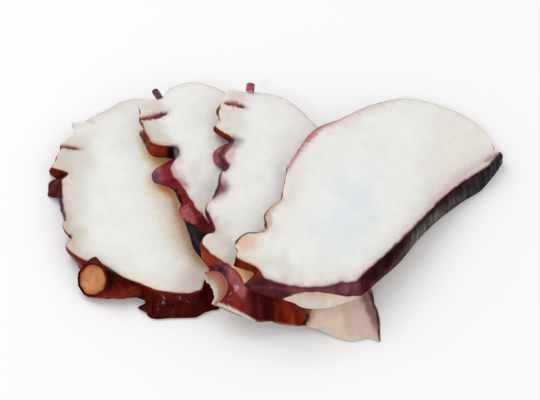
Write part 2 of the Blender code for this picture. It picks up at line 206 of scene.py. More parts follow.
SLICE_3 = [
    ("back", [(-1.3, 29.5, 0, -1.3), (-6.3, 28.7, 0, -1.3)]),
    ("bare", [(-10.4, 28.6, 0, -1), (-11.4, 26, 0.2, 0), (-12.1, 24.3, 0.2, 0.2)]),
    ("brown", [(-12.4, 23.2, -1.1, 0.4), (-12.5, 21.6, 0.2, 0.6)]),
    ("pale", [(-12.7, 19.8, 0.9, 0.6), (-12.5, 17.7, 0.8, 0.5)]),
    ("brown", [(-13.5, 15.3, -0.4, 2.1), (-11.75, 13.9, -0.25, 2), (-9.8, 12.7, -0.5, 2.1)]),
    ("blot", [(-8.85, 11.8, -1.4, 2.1)]),
    ("pink", [(-9.6, 9.3, -2.3, 3.9), (-10.6, 7.5, -3, 3.7), (-11, 5.9, -3, 3.2), (-10.6, 4.6, -2.9, 2.2)]),
    ("blot", [(-9.9, 3.2, -2, 2.4)]),
    ("plum", [(-10.6, 1.6, -0.8, 2.5), (-11.7, 0.7, -0.3, 1.2), (-12, -2, -0.5, 0.8),
        (-12.2, -4.3, -1.5, 0.8), (-13, -7.1, -0.7, 0.6), (-14.6, -9.3, 0.1, 0.8), (-15.1, -10.9, 0.3, 0.6),
        (-14.4, -12.6, 0.2, 0.6), (-13, -15.9, 0.1, 0.5), (-12.8, -17.6, -0.2, 0.8)]),
    ("pale", [(-14.6, -18.9, 0, 0.6), (-15.4, -20.3, -0.3, 0.8), (-15.5, -21.5, -0.5, 0.5)]),
    ("brown", [(-14.9, -22.6, -0.8, -0.1), (-13.8, -23.8, -0.4, -1.1), (-11.7, -25, -0.9, -1.2)]),
    ("wine", [(-10.8, -25.6, -2, -3.5), (-9.9, -26, -3, -7.2), (-8.7, -26.7, -3.2, -7),
        (-7.3, -27.7, -0.5, -7.2), (-6.5, -29, 1.3, -6.4), (-5.8, -30.3, 2.8, -5.7), (-2, -31.6, 2.2, -3.8),
        (0.5, -32, 1.6, -3.8), (4, -32.1, 2.5, -3.5), (5.4, -32, 2.3, -3.3)]),
    ("peeled", [(7, -31.9, 2.2, -3.6), (9.2, -31.6, 2.3, -4.2), (12, -31.2, 2.7, -6), (15, -30.6, 2.9, -7.7),
        (18, -29.8, 2.6, -8.3), (20, -29, 2.6, -8.5), (21.2, -28, 2.6, -9.9)]),
    ("pink", [(21.8, -27, 3.5, -11.5), (21.8, -26, 3.6, -11.1), (21.4, -23, 4.1, -9.3),
        (20.3, -20.5, 4.7, -8.7), (19.6, -17, 4, -9.1)]),
    ("hidden", [(19.6, -10, 1.6, -3), (20.4, 1.4, 0.3, -1), (16.6, 13.6, 0, -0.6)]),
    ("back", [(12.1, 20.4, 0, -0.8), (8.8, 24.4, 0, -1), (6.4, 26.9, 0, -1.1), (3.8, 28.7, 0, -1.2)]),
]
SLICE_4 = [
    ("back", [(40, 31, 0, -1.4), (34.4, 30.8, 0, -1.4)]),
    ("pink", [(27.9, 27.9, 0, -1.2), (22.6, 24.3, 0, -1), (17.4, 19.8, 0, -0.8), (12.8, 16.7, -0.2, -0.6),
        (9.8, 13.3, -0.3, -0.5), (6.8, 7.2, -0.3, -0.4)]),
    ("bare", [(4.6, 2.6, -0.2, -0.3), (3.9, -1.4, -0.2, -0.3), (3.1, -6.4, -0.2, -0.3)]),
    ("brown", [(2.7, -8.9, 0.5, 0.6), (1.3, -10.5, 0.6, 0.6), (-0.1, -12.2, 0.6, 0.4), (-1.4, -14.7, 0.6, 0),
        (-0.8, -17.4, 0.4, 0.4)]),
    ("traced", [(-1.3, -19, 0.2, 0.8), (-2.6, -19.9, 0, 1), (-5.2, -20.5, 0, 1), (-6.8, -22, 0.3, 0.8),
        (-7.9, -23.6, 0.8, 0.5)]),
    ("pale", [(-7.9, -24.9, 1.2, 0.6), (-7.3, -25.9, 1, 0.6)]),
    ("brown", [(-7.6, -27.5, -0.7, 0.8), (-4.8, -28.7, -1.1, 1.2), (-2.7, -29.6, -1, 1.3)]),
    ("plum", [(-2, -30.8, -3.9, -0.5), (-1.5, -31.6, -3, -0.4), (0, -32.1, -1.4, -0.5), (1.8, -32.4, 0, -1),
        (4, -32.6, 1, -1.2), (6.5, -32.7, 0.8, -2), (11.3, -32, 0.1, -2.4), (15, -30.8, -0.6, -2.7),
        (16.3, -30, 0.6, -2.3), (17.8, -30, 0.1, -1.7), (19.4, -29.5, 0.8, -1)]),
    ("claret", [(21.2, -27.7, 0.8, -1.2), (24.9, -23.4, 0.6, -1.8), (29.9, -17.4, 0.7, -1.9)]),
    ("maroon", [(35.4, -10.1, 0.4, -1.1), (40.6, -2.8, 1.1, -0.9), (45.8, 3.4, 1.9, -0.8),
        (50.9, 8.2, 1.8, -1.2), (54.2, 11, 1.1, -0.5), (56.4, 13.9, 1.3, 0.2), (57.9, 16, 1.1, 1)]),
    ("dim", [(56.4, 16.6, 1.2, 0.4), (56, 19.4, 0.3, 0)]),
    ("bare", [(55.2, 22, -0.3, -0.5)]),
    ("back", [(52.2, 26.1, -0.3, -0.8), (49, 28.4, -0.2, -1.1), (46, 29.6, 0, -1.2)]),
]
OUTLINES = {"slice_1": SLICE_1, "slice_2": SLICE_2, "slice_3": SLICE_3, "slice_4": SLICE_4}


# ---- marks
# Marks are drawn in the plane that faces the camera: (across, up) in millimetres, where
# up is y sin 50 + z cos 50. A patch is a filled outline and a line is a stroke of some
# width; each lies on the skin or on the upper flesh. lift raises the surface, or sinks it
# if negative, and peeled is True where the mark turns skin into flesh.
# Besides stains and the skin's own colours, some marks are painted shade, painted shadow, painted light or
# painted highlights; each of these is named where it stands.
def patch(points, tint, strength=1.0, soft=0.18, lift=0.0, peeled=False):
    return np.array(points + points[:1], dtype=float), 0.0, tint, strength, soft, lift, peeled


def line(points, width, tint, strength=1.0, soft=0.1, lift=0.0, peeled=False):
    return np.array(points, dtype=float), width / 2, tint, strength, soft, lift, peeled


def marks_on(surface, marks):
    return [(surface, *mark) for mark in marks]


MARKS = {}
MARKS["slice_1"] = marks_on("flesh", [
    patch([(-53, 19), (-44, 20), (-45, 2), (-44, -12), (-52, -6)], "oat", 0.55, 2.2),
    patch([(-54, 17), (-49, 16), (-49.6, 9), (-54, 11)], "oat", 0.5, 1),
    patch([(-52, -4), (-46, -4), (-38, -14), (-47, -15)], "oat", 0.4, 2),
    patch([(-44, -12), (-30, -17), (-18, -20), (-16, -18), (-30, -14)], "cream", 0.35, 1.4),
    # Along slice 2's lower edge: a warm juice stain mixed with painted contact shade under that edge, in
    # sand, toffee, umber and honey.
    line([(-33, 19.5), (-31, 14), (-28.5, 12.4), (-24, 12), (-22, 10)], 2.4, "sand", 0.95, 0.9),
    line([(-28.5, 11.5), (-29.2, 9), (-28.6, 6.3), (-25.5, 5.2), (-23.7, 3.8), (-22.3, 0.8), (-21.4, -2.5),
        (-19.6, -6.8), (-17.5, -10), (-14.7, -12.6)], 2.6, "sand", 0.75, 1.2),
    line([(-29, 7), (-26, 2), (-24, -3), (-21, -8), (-17, -12)], 5, "sand", 0.55, 2),
    line([(-30.5, 16.6), (-29.8, 14.4), (-28.7, 13.4), (-26.7, 12.9), (-24.3, 13)], 1.4, "toffee", 0.75,
        0.5),
    line([(-27, 6.2), (-25.7, 5.4), (-24.5, 4.9), (-23.4, 3.7), (-22.6, 2)], 1.7, "toffee", 0.85, 0.6),
    line([(-23.1, 2), (-20.6, -3.7), (-18.5, -8.4), (-17.3, -10.4), (-15.6, -12.4)], 1.6, "umber", 0.75,
        0.9),
    # Painted shade: a grey darkening along slice 2's lower edge.
    line([(-24, 2), (-22, -3), (-20, -7.6), (-17, -11.6)], 3, "grey", 0.22, 1.6),
    line([(-25.5, 5.2), (-23.7, 3.8), (-22.3, 0.8), (-21.4, -2.5), (-19.6, -6.8), (-17.5, -10),
        (-14.7, -12.6)], 1, "honey", 0.6, 0.6),
    line([(-53, 16.9), (-51.3, 16.5), (-49.5, 16.2), (-47, 15.8)], 1.3, "rust", 0.45, 0.4),
    line([(-53.4, 16.9), (-51.3, 16.5), (-49.7, 16.2), (-48.2, 16)], 0.7, "umber", 0.95, 0.2, -0.4),
    # Painted shadow: black gap line and wedge under slice 2's lifted left edge.
    line([(-32.9, 20.6), (-31.5, 17.4), (-30, 14.3)], 0.55, "ink", 0.95, 0.12),
    patch([(-23.2, 7.3), (-22.4, 6.6), (-21.2, 4.2), (-20.6, 1.6), (-21.5, 1.2), (-22.6, 4.2)], "ink", 0.95,
        0.15),
    line([(-50.5, 2), (-49.6, -1.8), (-48.6, -5), (-46.4, -7.6)], 2.2, "fawn", 0.35, 1),
    patch([(-22, -15), (-18.5, -12.5), (-16, -12.8), (-16, -17.6), (-22, -18.6)], "fawn", 0.36, 1.6),
    line([(-50.5, 22.3), (-44.1, 26.3), (-38, 28.6)], 2.4, "oat", 0.7, 1.2),
    line([(-46.7, 23.4), (-44.6, 22.6)], 0.3, "mauve", 0.45, 0.2),
])
MARKS["slice_1"] += marks_on("skin", [
    patch([(-54.8, 11.6), (-52.2, 11.4), (-49.8, 9.9), (-50.6, 8.2), (-55.3, 8.2)], "oxblood", 0.25),
    patch([(-52.6, 10.2), (-49.8, 9.9), (-50.4, 8.2), (-52.8, 8.3)], "maroon", 0.7, 0.5),
    patch([(-55.8, 8.2), (-51.5, 8.3), (-50.8, 3.7), (-55.8, 3.2)], "oxblood", 0.95),
    line([(-50.8, 3.6), (-50.4, 0.8), (-49.4, -1.6)], 1.4, "ink", 0.75),
    patch([(-49.8, -7.2), (-47.5, -9.1), (-45.5, -11.3), (-42, -12.6), (-44, -14), (-46.8, -11.8)], "plum",
        0.8),
    # Painted highlight: a light purple-white glint on the skin.
    line([(-48.3, -8.9), (-46.6, -11), (-44.5, -12.8)], 0.35, "rose", 0.5, 0.2),
    patch([(-39.6, -13), (-37, -13.7), (-34.5, -15.6), (-36.5, -17.2)], "plum", 0.6, 0.4),
    line([(-40, -18.6), (-36, -18.4), (-33, -18.9)], 1.2, "umber", 0.7, 0.4),
    line([(-38, -14.6), (-34, -16.4), (-30, -18)], 0.9, "umber", 0.6, 0.4),
    patch([(-30.8, -21.6), (-23, -21.6), (-15.2, -22.6), (-12, -21.6), (-15.1, -17.6), (-18, -20),
        (-23, -20), (-28.5, -20.4)], "maroon", 0.7, 0.5),
    line([(-28, -17.6), (-24, -19.2), (-19.5, -19.6)], 0.8, "umber", 0.35, 0.5),
])
MARKS["slice_2"] = marks_on("flesh", [
    patch([(-31.8, 22.8), (-27.4, 22.6), (-24.4, 18), (-27.6, 17.6), (-30.9, 19.4)], "oat", 0.7, 0.9),
    patch([(-33, 27.4), (-28.3, 28.2), (-26, 25.8), (-31.7, 24.4)], "oat", 0.6, 0.9),
    line([(-31.5, 23.6), (-28.6, 24.1), (-25.4, 25)], 2.4, "blush", 0.45, 0.6),
    line([(-32.9, 23.4), (-30.2, 23.6), (-28.2, 24), (-26.2, 24.7)], 1.1, "rust", 0.95, 0.25, -0.45),
    line([(-33, 23.6), (-30.6, 23.8)], 0.4, "oxblood", 0.7, 0.2),
    line([(-29.4, 23.9), (-27.8, 24.3), (-26, 24.8)], 1, "plum", 0.85, 0.25),
    line([(-31.6, 22.6), (-31.5, 20.8), (-30.4, 18.6), (-28.5, 17.3), (-25, 16.9)], 1, "fawn", 0.55, 0.6),
    patch([(-24.3, 16.9), (-22.8, 16.7), (-22, 15.6), (-22.1, 14), (-23.6, 13.4)], "slate", 0.65, 0.35),
    line([(-23.1, 16.3), (-22.6, 15.2), (-22.7, 13.8)], 0.7, "lilac", 0.5, 0.3),
    # Painted shade: greyish darkening where slice 3 shades slice 2's face.
    patch([(-17, 7), (-13.5, 8), (-12.5, -3), (-15, -3)], "oat", 0.5, 1.4),
    line([(-24.2, 13), (-23.6, 10), (-22.1, 7.9), (-20.2, 6.6)], 1.8, "rose", 0.9, 0.7),
    line([(-24.6, 13), (-24, 10), (-22.6, 7.6), (-20.6, 4.6), (-18.6, 1.4)], 0.9, "blush", 0.5, 0.4),
    line([(-22.4, 8.1), (-21.2, 7.3), (-20.2, 6.7)], 1, "mauve", 0.7, 0.45),
    patch([(-21, 12), (-17.5, 12), (-17.5, 7.6), (-19.6, 8.4)], "oat", 0.4, 1.2),
])
MARKS["slice_2"] += marks_on("skin", [
    patch([(-33.2, 24), (-30.9, 24), (-30.4, 20.6), (-32.6, 20)], "fawn", 0.6, 0.6),
    # Painted shadow: the dark gap under slice 2's lower left corner, drawn on its skin.
    line([(-33.4, 20.8), (-31.8, 17.8), (-29.8, 14.1)], 1.1, "ink"),
    line([(-29.8, 14.2), (-27.5, 13.7), (-25, 13.6)], 0.5, "oxblood", 0.8),
    patch([(-30, 16.4), (-27.4, 16), (-25.8, 15.8), (-25.8, 13.9), (-29.2, 14.4)], "rust", 0.5, 0.5),
    patch([(-25.3, 17.2), (-24, 17), (-23.5, 15), (-24.2, 13), (-25.3, 13.4)], "ink", 1, 0.3),
    line([(-23.2, 15.6), (-23, 13.8)], 0.9, "lilac", 0.6, 0.3),
    patch([(-29.5, 12), (-27, 12), (-26, 8.6), (-27, 6.4), (-29.3, 7)], "mauve", 0.75, 0.5),
    line([(-29.3, 10.7), (-28.9, 8.8), (-27.8, 7.7)], 2.8, "slate", 0.85, 0.8),
    # Painted shadow: the black gap under a lobe of slice 2's skin.
    line([(-24.6, 5.6), (-23, 5.2), (-22.4, 3.7), (-21.6, 1.9), (-21, 0.2)], 1.6, "ink"),
    patch([(-21.9, 1.4), (-19.6, 1.9), (-16.9, -1.9), (-18.6, -2.6), (-20.9, -1.2)], "blush", 0.75, 0.3,
        0.35),
    patch([(-17.6, -0.6), (-15.4, -1), (-12.5, -4), (-15.2, -4.9), (-17.2, -3.6)], "oxblood", 0.85, 0.5),
    patch([(-20.8, -1.8), (-18.4, -2.5), (-16.7, -4.4), (-13.5, -5), (-12, -8), (-12, -14), (-16.4, -11.5),
        (-19.4, -6.3)], "charcoal", 1, 0.12, -0.3),
    # Painted shade: a black wedge over the dark grey skin where slice 2 lifts off slice 1.
    patch([(-19.6, -5), (-15, -5), (-12, -8), (-12, -14), (-16.4, -11.5)], "ink", 0.75, 0.6),
    # Painted highlights: lighter slate facets on that dark skin.
    line([(-18.8, -4), (-17.8, -6.4), (-15.8, -9.4)], 0.7, "slate", 0.5, 0.3),
    line([(-20.8, -1.7), (-18.4, -2.5), (-16.9, -4.2), (-15, -4.9)], 0.45, "ink"),
])
MARKS["slice_3"] = marks_on("flesh", [
    patch([(-12.4, 26.3), (-6.2, 25.4), (-5.9, 19.9), (-11, 20.2)], "oat", 0.4, 1),
    patch([(-15.6, -3), (-10, -2), (-8.5, -8), (-14.5, -8)], "oat", 0.45, 1),
    patch([(-10.8, 30.2), (-6, 30.6), (-5.6, 28), (-10.5, 27.6)], "rose", 0.4, 0.7),
    line([(-10.9, 27.4), (-8.7, 27), (-5.9, 26.2)], 2, "blush", 0.45, 0.5),
    line([(-11.2, 27.4), (-8.7, 27), (-6.5, 26.3)], 1.15, "rust", 0.9, 0.25, -0.45),
    line([(-11.1, 27.5), (-9.5, 27.2)], 0.45, "oxblood", 0.7, 0.2),
    line([(-8, 26.9), (-6.5, 26.2)], 0.7, "plum", 0.8, 0.2),
    line([(-12.8, 26.6), (-13.1, 25), (-12.4, 23), (-12.3, 22)], 0.5, "rust", 0.6, 0.2),
    patch([(-10.6, 18.4), (-9.1, 18.9), (-7.3, 18.5), (-6.6, 17.6), (-7.5, 16.4), (-8.7, 15.4),
        (-10.2, 16.1)], "slate", 0.5, 0.6),
    line([(-9.4, 18), (-7.8, 17.4)], 1.6, "mauve", 0.35, 0.6),
    patch([(-10.6, 18.2), (-8.9, 18.2), (-9, 16.6), (-10.3, 16.7)], "plum", 0.5, 0.4),
    patch([(-10.4, 15.6), (-8.9, 15.8), (-8.9, 12.6), (-10.9, 13)], "rose", 0.85, 0.9),
    patch([(-11, 13), (-9.5, 11.7), (-10.6, 10), (-12, 10.6)], "plum", 0.95, 0.25),
    patch([(-13.3, 3.9), (-12.1, 7.7), (-10.6, 7.1), (-10.1, 5.7), (-11.8, 4.2)], "mauve", 0.95, 0.8),
    patch([(-13.5, 3.8), (-12.9, 5.9), (-12.1, 7.6), (-11.5, 7.4), (-11.3, 6.2), (-12, 4.7)], "plum", 0.9,
        0.25),
    line([(-11.5, 10), (-11.9, 8.5), (-12, 7.2)], 0.5, "plum", 0.9, 0.15),
    line([(-11, 8), (-10.3, 6.5), (-11.4, 5.3)], 1.1, "plum", 0.55, 0.5),
    line([(-15.3, 0.8), (-14.4, -1.9), (-13, -4.2)], 0.7, "mauve", 0.7, 0.3),
    line([(-14.5, 0), (-13, -2.8), (-12.3, -1)], 1, "rose", 0.6, 0.5),
    patch([(-15.8, -5.6), (-14, -8), (-11.5, -9), (-13.5, -4.6)], "cream", 0.45, 0.7),
    # Painted light: a bright amber glow where slice 4 shades slice 3's face.
    patch([(-9.2, -12), (-6.5, -10.4), (-2, -12.5), (-3.6, -15), (-5.8, -16.5), (-7.2, -14.3)], "amber",
        0.95, 0.35),
])
MARKS["slice_3"] += marks_on("skin", [
    line([(-13.5, 21.2), (-14, 20)], 0.5, "ink", 0.8),
    patch([(-12, 17), (-13.9, 15.2), (-14.1, 13.5), (-13.6, 11.6), (-11.8, 10.5), (-10.4, 13), (-10.9, 14.1),
        (-9.6, 15.6)], "blush", 0.75, 0.3),
    line([(-13.7, 14.6), (-13.6, 12.6), (-12.3, 11)], 0.7, "mauve", 0.7, 0.3),
    line([(-10.3, 17.5), (-11.4, 15.4), (-11.9, 13.9), (-11.6, 12.2)], 1.5, "plum", 0.95, 0.45),
    line([(-11.6, 14.6), (-11.8, 13), (-11.2, 11.8)], 1.1, "ink", 0.4, 0.5),
    patch([(-11.6, 13.5), (-9.6, 12.6), (-10.3, 10), (-12.2, 10.4)], "plum", 0.95, 0.3),
    line([(-12.1, 9), (-12.3, 7), (-13, 4.4)], 1.4, "ink", 0.6, 0.3),
    patch([(-16.2, -8), (-14.9, -8.4), (-12.8, -9.7), (-10.8, -11.2), (-11.8, -12.6), (-13.7, -11.9),
        (-16.2, -10)], "rust", 0.85, 0.3),
    patch([(-11.4, -15.8), (-8, -16.2), (-5.8, -18.2), (-5.2, -23.8), (-13, -21.4)], "crimson", 0.85, 0.5),
    patch([(-5.8, -16), (2.6, -18), (3.2, -26.4), (-4.4, -24.4)], "maroon", 1, 0.8),
    patch([(2.4, -18), (9.6, -20.4), (7.8, -26.6), (2.6, -26.4)], "umber", 1, 0.5),
    line([(1.2, -20), (1.7, -25)], 0.8, "umber", 0.55, 0.3),
    line([(-5, -17.4), (-4.6, -22.4)], 1.2, "plum", 0.6, 0.4),
    line([(-2.6, -19), (-2.2, -24)], 0.7, "crimson", 0.5, 0.3),
    line([(-1, -18.6), (-0.6, -24.4)], 0.5, "ink", 0.6, 0.25),
    line([(2.6, -20), (2.9, -25)], 0.5, "maroon", 0.8, 0.2),
    line([(5.6, -20.6), (5, -25.4)], 0.7, "rust", 0.6, 0.25),
    patch([(-11, -11.4), (-8.6, -11.9), (-6.4, -14.4), (-5.2, -16.4), (-6, -19.4), (-7.8, -17.6),
        (-9.6, -14.6)], "mauve", 0.9, 0.35),
    line([(-9.2, -12), (-8, -13.6), (-6.8, -15.7), (-6.3, -18)], 2.2, "blush", 0.95, 0.4),
    patch([(-13, -11.4), (-11, -11.9), (-9.4, -12.9), (-9.6, -14.2), (-11.9, -13.7)], "slate", 1, 0.3),
    line([(-12, -12.2), (-10.4, -13.2)], 0.9, "ink", 0.7, 0.3),
    line([(-11, -11.4), (-8.6, -12)], 0.4, "maroon", 0.8, 0.2),
    patch([(9.2, -20), (20, -17), (23, -17.4), (26, -24), (28, -32), (7, -32), (8.2, -26), (9.1, -23.6)],
        "peel", 1, 0.12, -0.25, True),
    line([(9.5, -20.4), (8.7, -23.6), (7.6, -26.4)], 1.2, "maroon", 1, 0.15),
    line([(10.4, -20.6), (9.7, -23.8), (8.6, -26.6)], 1, "rust", 0.5, 0.4),
    line([(9, -22.4), (11.4, -21.6), (13.4, -21.8)], 1.1, "honey", 0.5, 0.7),
    patch([(17, -19.6), (21, -18.6), (26, -29.6), (18.6, -28.4), (17.4, -24.4)], "rose", 0.45, 0.6),
    line([(16.7, -19.7), (17.3, -24.4), (18.4, -27.9)], 0.6, "blush", 0.2, 0.5),
    patch([(20.8, -17.4), (22.8, -16.8), (25.4, -21.2), (26, -26), (25.6, -28.6), (24.1, -26.3),
        (22.7, -23.2), (21.4, -20.6)], "dusk", 0.9, 0.6),
    line([(22.9, -17.6), (24.2, -20), (25, -22), (25.5, -24.4), (25.4, -29.6)], 0.9, "maroon", 0.95, 0.2),
    line([(-13.6, -20), (-11.4, -20.7), (-9.4, -21.4), (-6.9, -22.7), (-3.3, -24.6)], 0.8, "cream", 0.95,
        0.12, 0, True),
    line([(-3.2, -24.6), (0.5, -25), (2.8, -25.4), (6.6, -25.9)], 0.4, "peach", 0.5, 0.2),
])
MARKS["slice_4"] = marks_on("flesh", [
    patch([(13, -4), (18, -9), (22, -4), (24, 6), (17, 6)], "cool", 0.7, 4),
    patch([(43, 27), (55.5, 18.4), (52.2, 11.9), (38, 3), (36, 12)], "cream", 0.35, 2.2),
    patch([(3.6, 9.2), (7, 13), (9, 10), (6, 3.2), (3.2, 0)], "cream", 0.5, 1.2),
    patch([(-1.8, -10.8), (3.4, -14), (7, -14), (3, -9)], "oat", 0.35, 1),
    patch([(-8, -6.8), (-6.4, -4.4), (-3, -4.6), (-2, -7.5), (-5.6, -9.6), (-8, -9.6)], "peach", 0.35, 0.9),
    patch([(-8.4, -6.4), (-6.6, -4.8), (-4.6, -4.8), (-3, -6.8), (-5.4, -8)], "peach", 0.6, 0.7),
    line([(-8.6, -7), (-7.4, -5.3), (-5.8, -4.4), (-3.2, -4.1)], 0.9, "umber", 0.6, 0.3),
    line([(2.8, 3.2), (1, 1.9), (-0.2, -0.1), (0.1, -2.3), (-1, -4)], 0.8, "rust", 0.5, 0.4),
    line([(0.8, 2.3), (-0.6, 1.2), (-1.3, -0.7), (-1.2, -2.4), (-1.7, -4)], 0.8, "umber", 0.75, 0.25),
    line([(4.1, 10.4), (7.3, 16.3), (11.8, 20.9), (18, 24.2)], 1.7, "blush", 0.85, 0.5),
    line([(29.2, -9.8), (35.3, -3.7), (41.2, 1.9), (46.8, 6.6)], 0.7, "maroon", 0.7, 0.25),
    line([(23, -15), (33, -6), (41, 2.4), (48, 8.6), (56, 14)], 5, "oat", 0.6, 2),
    line([(33, -5.4), (40, 3), (48, 9.6), (56, 15)], 1.6, "rose", 0.5, 0.8),
    line([(53.6, 12.7), (55.4, 13.7), (57, 14.8)], 1, "brick", 0.6, 0.3),
])
MARKS["slice_4"] += marks_on("skin", [
    patch([(-7.6, -9), (-2.7, -11.8), (-1.5, -14), (-3.6, -14.4), (-8.4, -12)], "umber", 0.9, 0.2),
    line([(-7.9, -9.2), (-8.1, -11.8)], 1.5, "ink", 0.95, 0.3),
    line([(-3, -12.6), (-2.2, -13.8)], 0.8, "rust", 0.5, 0.3),
    patch([(-6.4, -16.4), (-1.6, -13.6), (3, -15.4), (4, -18), (2.8, -19.8), (-1.4, -18.8)], "oxblood", 0.4,
        0.4),
    patch([(3.4, -16.2), (11.3, -16.2), (15.2, -15.6), (15.2, -18.2), (8.1, -18), (4.5, -18.3)], "mauve",
        0.35, 0.4),
    patch([(3.2, -19.3), (5.9, -18.2), (8.1, -17.8), (11.3, -17.8), (14.6, -18.4), (17.6, -19), (21.4, -19),
        (18, -21.4), (11, -23), (4.6, -21.4)], "peel", 1, 0.09, -0.35, True),
    line([(6.8, -20.3), (9.5, -21), (12.3, -21.1), (15.1, -20.5)], 1.4, "cool", 0.5, 0.5),
    line([(6, -18.4), (10, -18.4), (15, -18.9)], 0.8, "fawn", 0.25, 0.4),
    # Painted highlights: two light streaks along the plum skin band.
    line([(8, -16.6), (11.3, -16.5), (14.8, -16.5)], 0.5, "grey", 0.45, 0.3),
    line([(-4, -16.8), (-1.8, -16.4), (1.1, -16.6), (4.6, -17.4)], 0.4, "dusk", 0.6, 0.3),
    patch([(15.6, -16.8), (16.2, -15.6), (17.4, -15.2), (18.4, -15.7), (18.5, -17), (17.8, -18.1),
        (16.4, -18)], "mauve", 0.55, 0.4, 0.5),
    # Painted highlight: a soft grey-purple sheen beside the bump.
    patch([(18.6, -15.7), (20.2, -15.5), (21.2, -16.6), (20.4, -19), (18.3, -19)], "dusk", 0.6, 0.5),
    patch([(21, -14), (25, -10.6), (33, -3.4), (34, -6), (29.4, -12), (23.6, -16.8), (21, -18)], "maroon",
        0.9, 0.4),
    patch([(22, -15), (24.5, -11.6), (31.6, -5.6), (32, -8), (27.6, -12.8), (24.2, -15.8)], "ink", 0.75,
        0.5),
    line([(23.5, -16.4), (25.5, -15.4), (27.5, -13.5), (29.8, -11.6)], 0.9, "dusk", 0.5, 0.4),
    patch([(29, -11.6), (32.3, -7.1), (37.2, -2.3), (42.3, 2.1), (48.8, 5.5), (51, 5.2), (44, 0.7),
        (38.6, -3.4), (34.5, -7.6), (30.5, -11.4)], "grey", 0.25, 0.5),
    patch([(32.6, -8.6), (34, -5.2), (37.2, -2.3), (40.5, 0.4), (42, -0.9), (38.6, -3.4), (34.5, -7.6)],
        "grey", 0.75, 0.7),
    line([(29.7, -7), (35.1, -2.5), (40.5, 2), (45.9, 6), (51, 8.6)], 1, "maroon", 0.9, 0.25),
    line([(48, 7), (52, 9.4), (57.6, 13.6)], 2.4, "charcoal", 0.8, 0.6),
])

# ---- helpers
def soft_ramp(distance, softness):
    """0 for a negative distance, the distance itself for a positive one, bent smoothly."""
    return softness * np.logaddexp(0.0, distance / softness)


def underside(name, x, y):
    """Height of a slice's lower face above the ground at (x, y)."""
    if name not in DRAPES:
        return np.zeros_like(x)
    x_end, slope, level_from, level_slope, sag = DRAPES[name]
    height = slope * soft_ramp(x_end - x, DRAPE_SOFTNESS)
    height = height - level_slope * soft_ramp(level_from - x, LEVEL_SOFTNESS)
    height = height - sag * soft_ramp(SAG_START - y, DRAPE_SOFTNESS)
    return soft_ramp(height - GROUND_SINK, GROUND_SOFTNESS)


def field(points, wavelength, seed):
    """Smooth random field from about -1 to 1: a sum of randomly turned sine waves."""
    random = np.random.default_rng(seed)
    total = np.zeros(len(points))
    for _ in range(WAVES):
        direction = random.normal(size=points.shape[1])
        direction /= np.linalg.norm(direction)
        turns = points @ direction / (wavelength * random.uniform(0.7, 1.4))
        total += np.sin(2 * math.pi * (turns + random.uniform()))
    return total / math.sqrt(WAVES)


def rough(points, fields, seed=0):
    """Sum of some random fields; the seed is added to their numbers."""
    return sum(height * field(points, length, seed + number) for height, length, number in fields)


def plain(hue, count):
    """Rows of one tint."""
    return np.tile(TINTS[hue], (count, 1))


def mix(first, second, share):
    """Blend rows of colours by a share or a row of shares; the second may be a tint's name."""
    share = np.reshape(np.clip(share, 0.0, 1.0), (-1, 1))
    return first * (1 - share) + (TINTS[second] if isinstance(second, str) else second) * share


def spline(control, per_span):
    """Closed centripetal Catmull-Rom curve: parameter and points."""
    count = len(control)
    knots = np.sqrt(np.hypot(*(np.roll(control, -1, axis=0) - control)[:, :2].T))
    spans = []
    where = []
    for i in range(count):
        p0, p1, p2, p3 = (control[(i + k) % count] for k in (-1, 0, 1, 2))
        t1 = knots[i - 1]
        t2 = t1 + knots[i]
        t3 = t2 + knots[(i + 1) % count]
        share = np.linspace(0.0, 1.0, per_span, endpoint=False)
        t = (t1 + (t2 - t1) * share)[:, None]
        a1 = p0 + (p1 - p0) * t / t1
        a2 = p1 + (p2 - p1) * (t - t1) / (t2 - t1)
        a3 = p2 + (p3 - p2) * (t - t2) / (t3 - t2)
        b1 = a1 + (a2 - a1) * t / t2
        b2 = a2 + (a3 - a2) * (t - t1) / (t3 - t1)
        spans.append(b1 + (b2 - b1) * (t - t1) / (t2 - t1))
        where.append(i + share)
    return np.concatenate(where), np.concatenate(spans)


def blurred(rows, samples):
    """Moving average round a closed row of samples."""
    half = samples // 2
    padded = np.concatenate([rows[-half:], rows, rows[:half]])
    sums = np.cumsum(np.concatenate([np.zeros((1, rows.shape[1])), padded]), axis=0)
    return (sums[samples:] - sums[:-samples]) / samples


def traced_outline(stretches):
    """Even samples round an outline: places, shifts of the lower edge, lengths and finishes."""
    finishes = [finish for finish, points in stretches for _ in points]
    control = np.array([point for _, points in stretches for point in points], dtype=float)
    looks = np.array([np.hstack([TINTS.get(v, v) for v in FINISHES[finish]]) for finish in finishes])
    where, curve = spline(control, SPAN_POINTS)
    ends = np.vstack([curve, curve[:1]])
    along = np.concatenate([[0.0], np.cumsum(np.hypot(*np.diff(ends[:, :2], axis=0).T))])
    samples = np.linspace(0.0, along[-1], int(along[-1] / EDGE_STEP), endpoint=False)
    curve = np.stack([np.interp(samples, along, ends[:, k]) for k in range(4)], axis=1)
    place = np.interp(samples, along, np.append(where, len(control)))
    before = place.astype(int) % len(looks)
    after = (before + 1) % len(looks)
    gradual = np.isin(finishes, GRADUAL)
    sharpness = np.where(gradual[before] | gradual[after], 1.0, SHARP_CHANGE)
    look = mix(looks[before], looks[after], (place % 1.0 - 0.5) * sharpness + 0.5)
    blended = np.isin(finishes, BLENDED)[before].astype(float)[:, None]
    border = 1 - np.abs(2 * blurred(blended, BLEND_SAMPLES) - 1)
    look[:, SKIN_TINT] += (blurred(look, BLEND_SAMPLES) - look)[:, SKIN_TINT] * border
    return curve[:, :2], curve[:, 2:], samples, look


